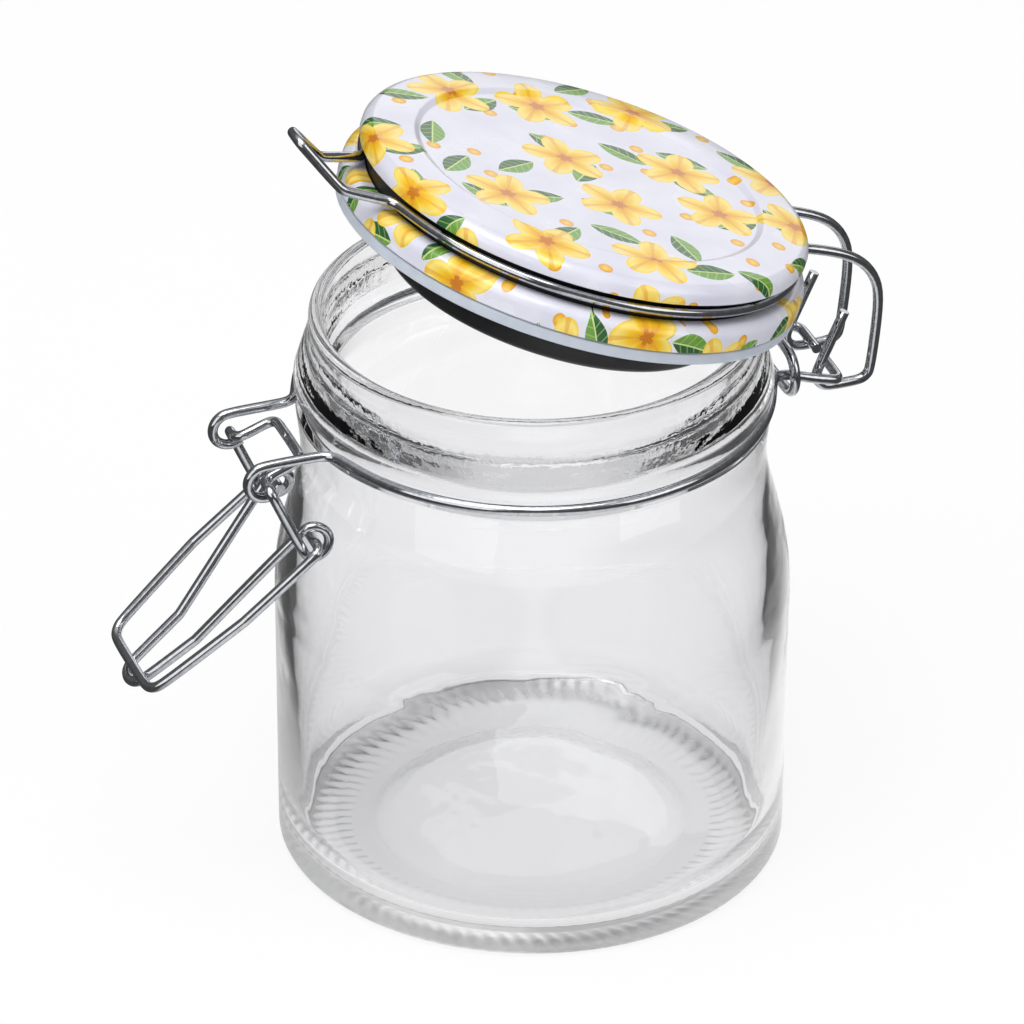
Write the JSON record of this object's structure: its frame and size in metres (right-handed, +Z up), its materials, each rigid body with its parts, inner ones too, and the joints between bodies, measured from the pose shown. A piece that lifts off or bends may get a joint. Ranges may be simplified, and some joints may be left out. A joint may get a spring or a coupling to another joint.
{
  "type": "clip-top storage jar",
  "caption": "Round clear glass storage jar with a printed hinged lid, a sealing ring and a wire lever clip that holds the lid shut.",
  "frame": {"origin": "centre of the flat base on the jar's axis", "axes": "+Z up along the jar's axis, +X towards the hinge, -X towards the lever clip"},
  "size_m": [0.1522, 0.0998, 0.163],
  "materials": {
    "glass": "clear pressed glass",
    "steel_wire": "bright drawn wire",
    "printed_tin": "gloss lacquer with a printed yellow and green pattern",
    "black_plastic": "moulded, satin",
    "silicone": "translucent, smooth"
  },
  "bodies": {
    "jar": {"glass_jar": "glass", "neck_wire_right": "steel_wire", "neck_wire_left": "steel_wire", "rear_tie_link": "steel_wire"},
    "lid_frame": {"lid_wire": "steel_wire"},
    "lid": {"lid_cover": "printed_tin", "lid_core": "black_plastic", "lid_skirt": "printed_tin", "gasket": "silicone"},
    "lever": {"lever_wire": "steel_wire"},
    "catch": {"catch_wire": "steel_wire"}
  },
  "joints": [
    {"name": "lid_hinge", "type": "hinge", "parent": "jar", "child": "lid_frame", "pos_m": [0.058, 0, 0.0995], "axis": [0, 1, 0], "range_deg": [-17.5, 82.5]},
    {"name": "lid_turn", "type": "hinge", "parent": "lid_frame", "child": "lid", "pos_m": [0.00605, 0, 0.12762], "axis": [0.3007, 0, 0.9537], "continuous": true},
    {"name": "lever_hinge", "type": "hinge", "parent": "jar", "child": "lever", "pos_m": [-0.0576, 0, 0.09335], "axis": [0, 1, 0], "range_deg": [0, 152]},
    {"name": "catch_hinge", "type": "hinge", "parent": "lever", "child": "catch", "pos_m": [-0.04845, 0, 0.08], "axis": [0, -1, 0], "range_deg": [-127, 0]}
  ]
}
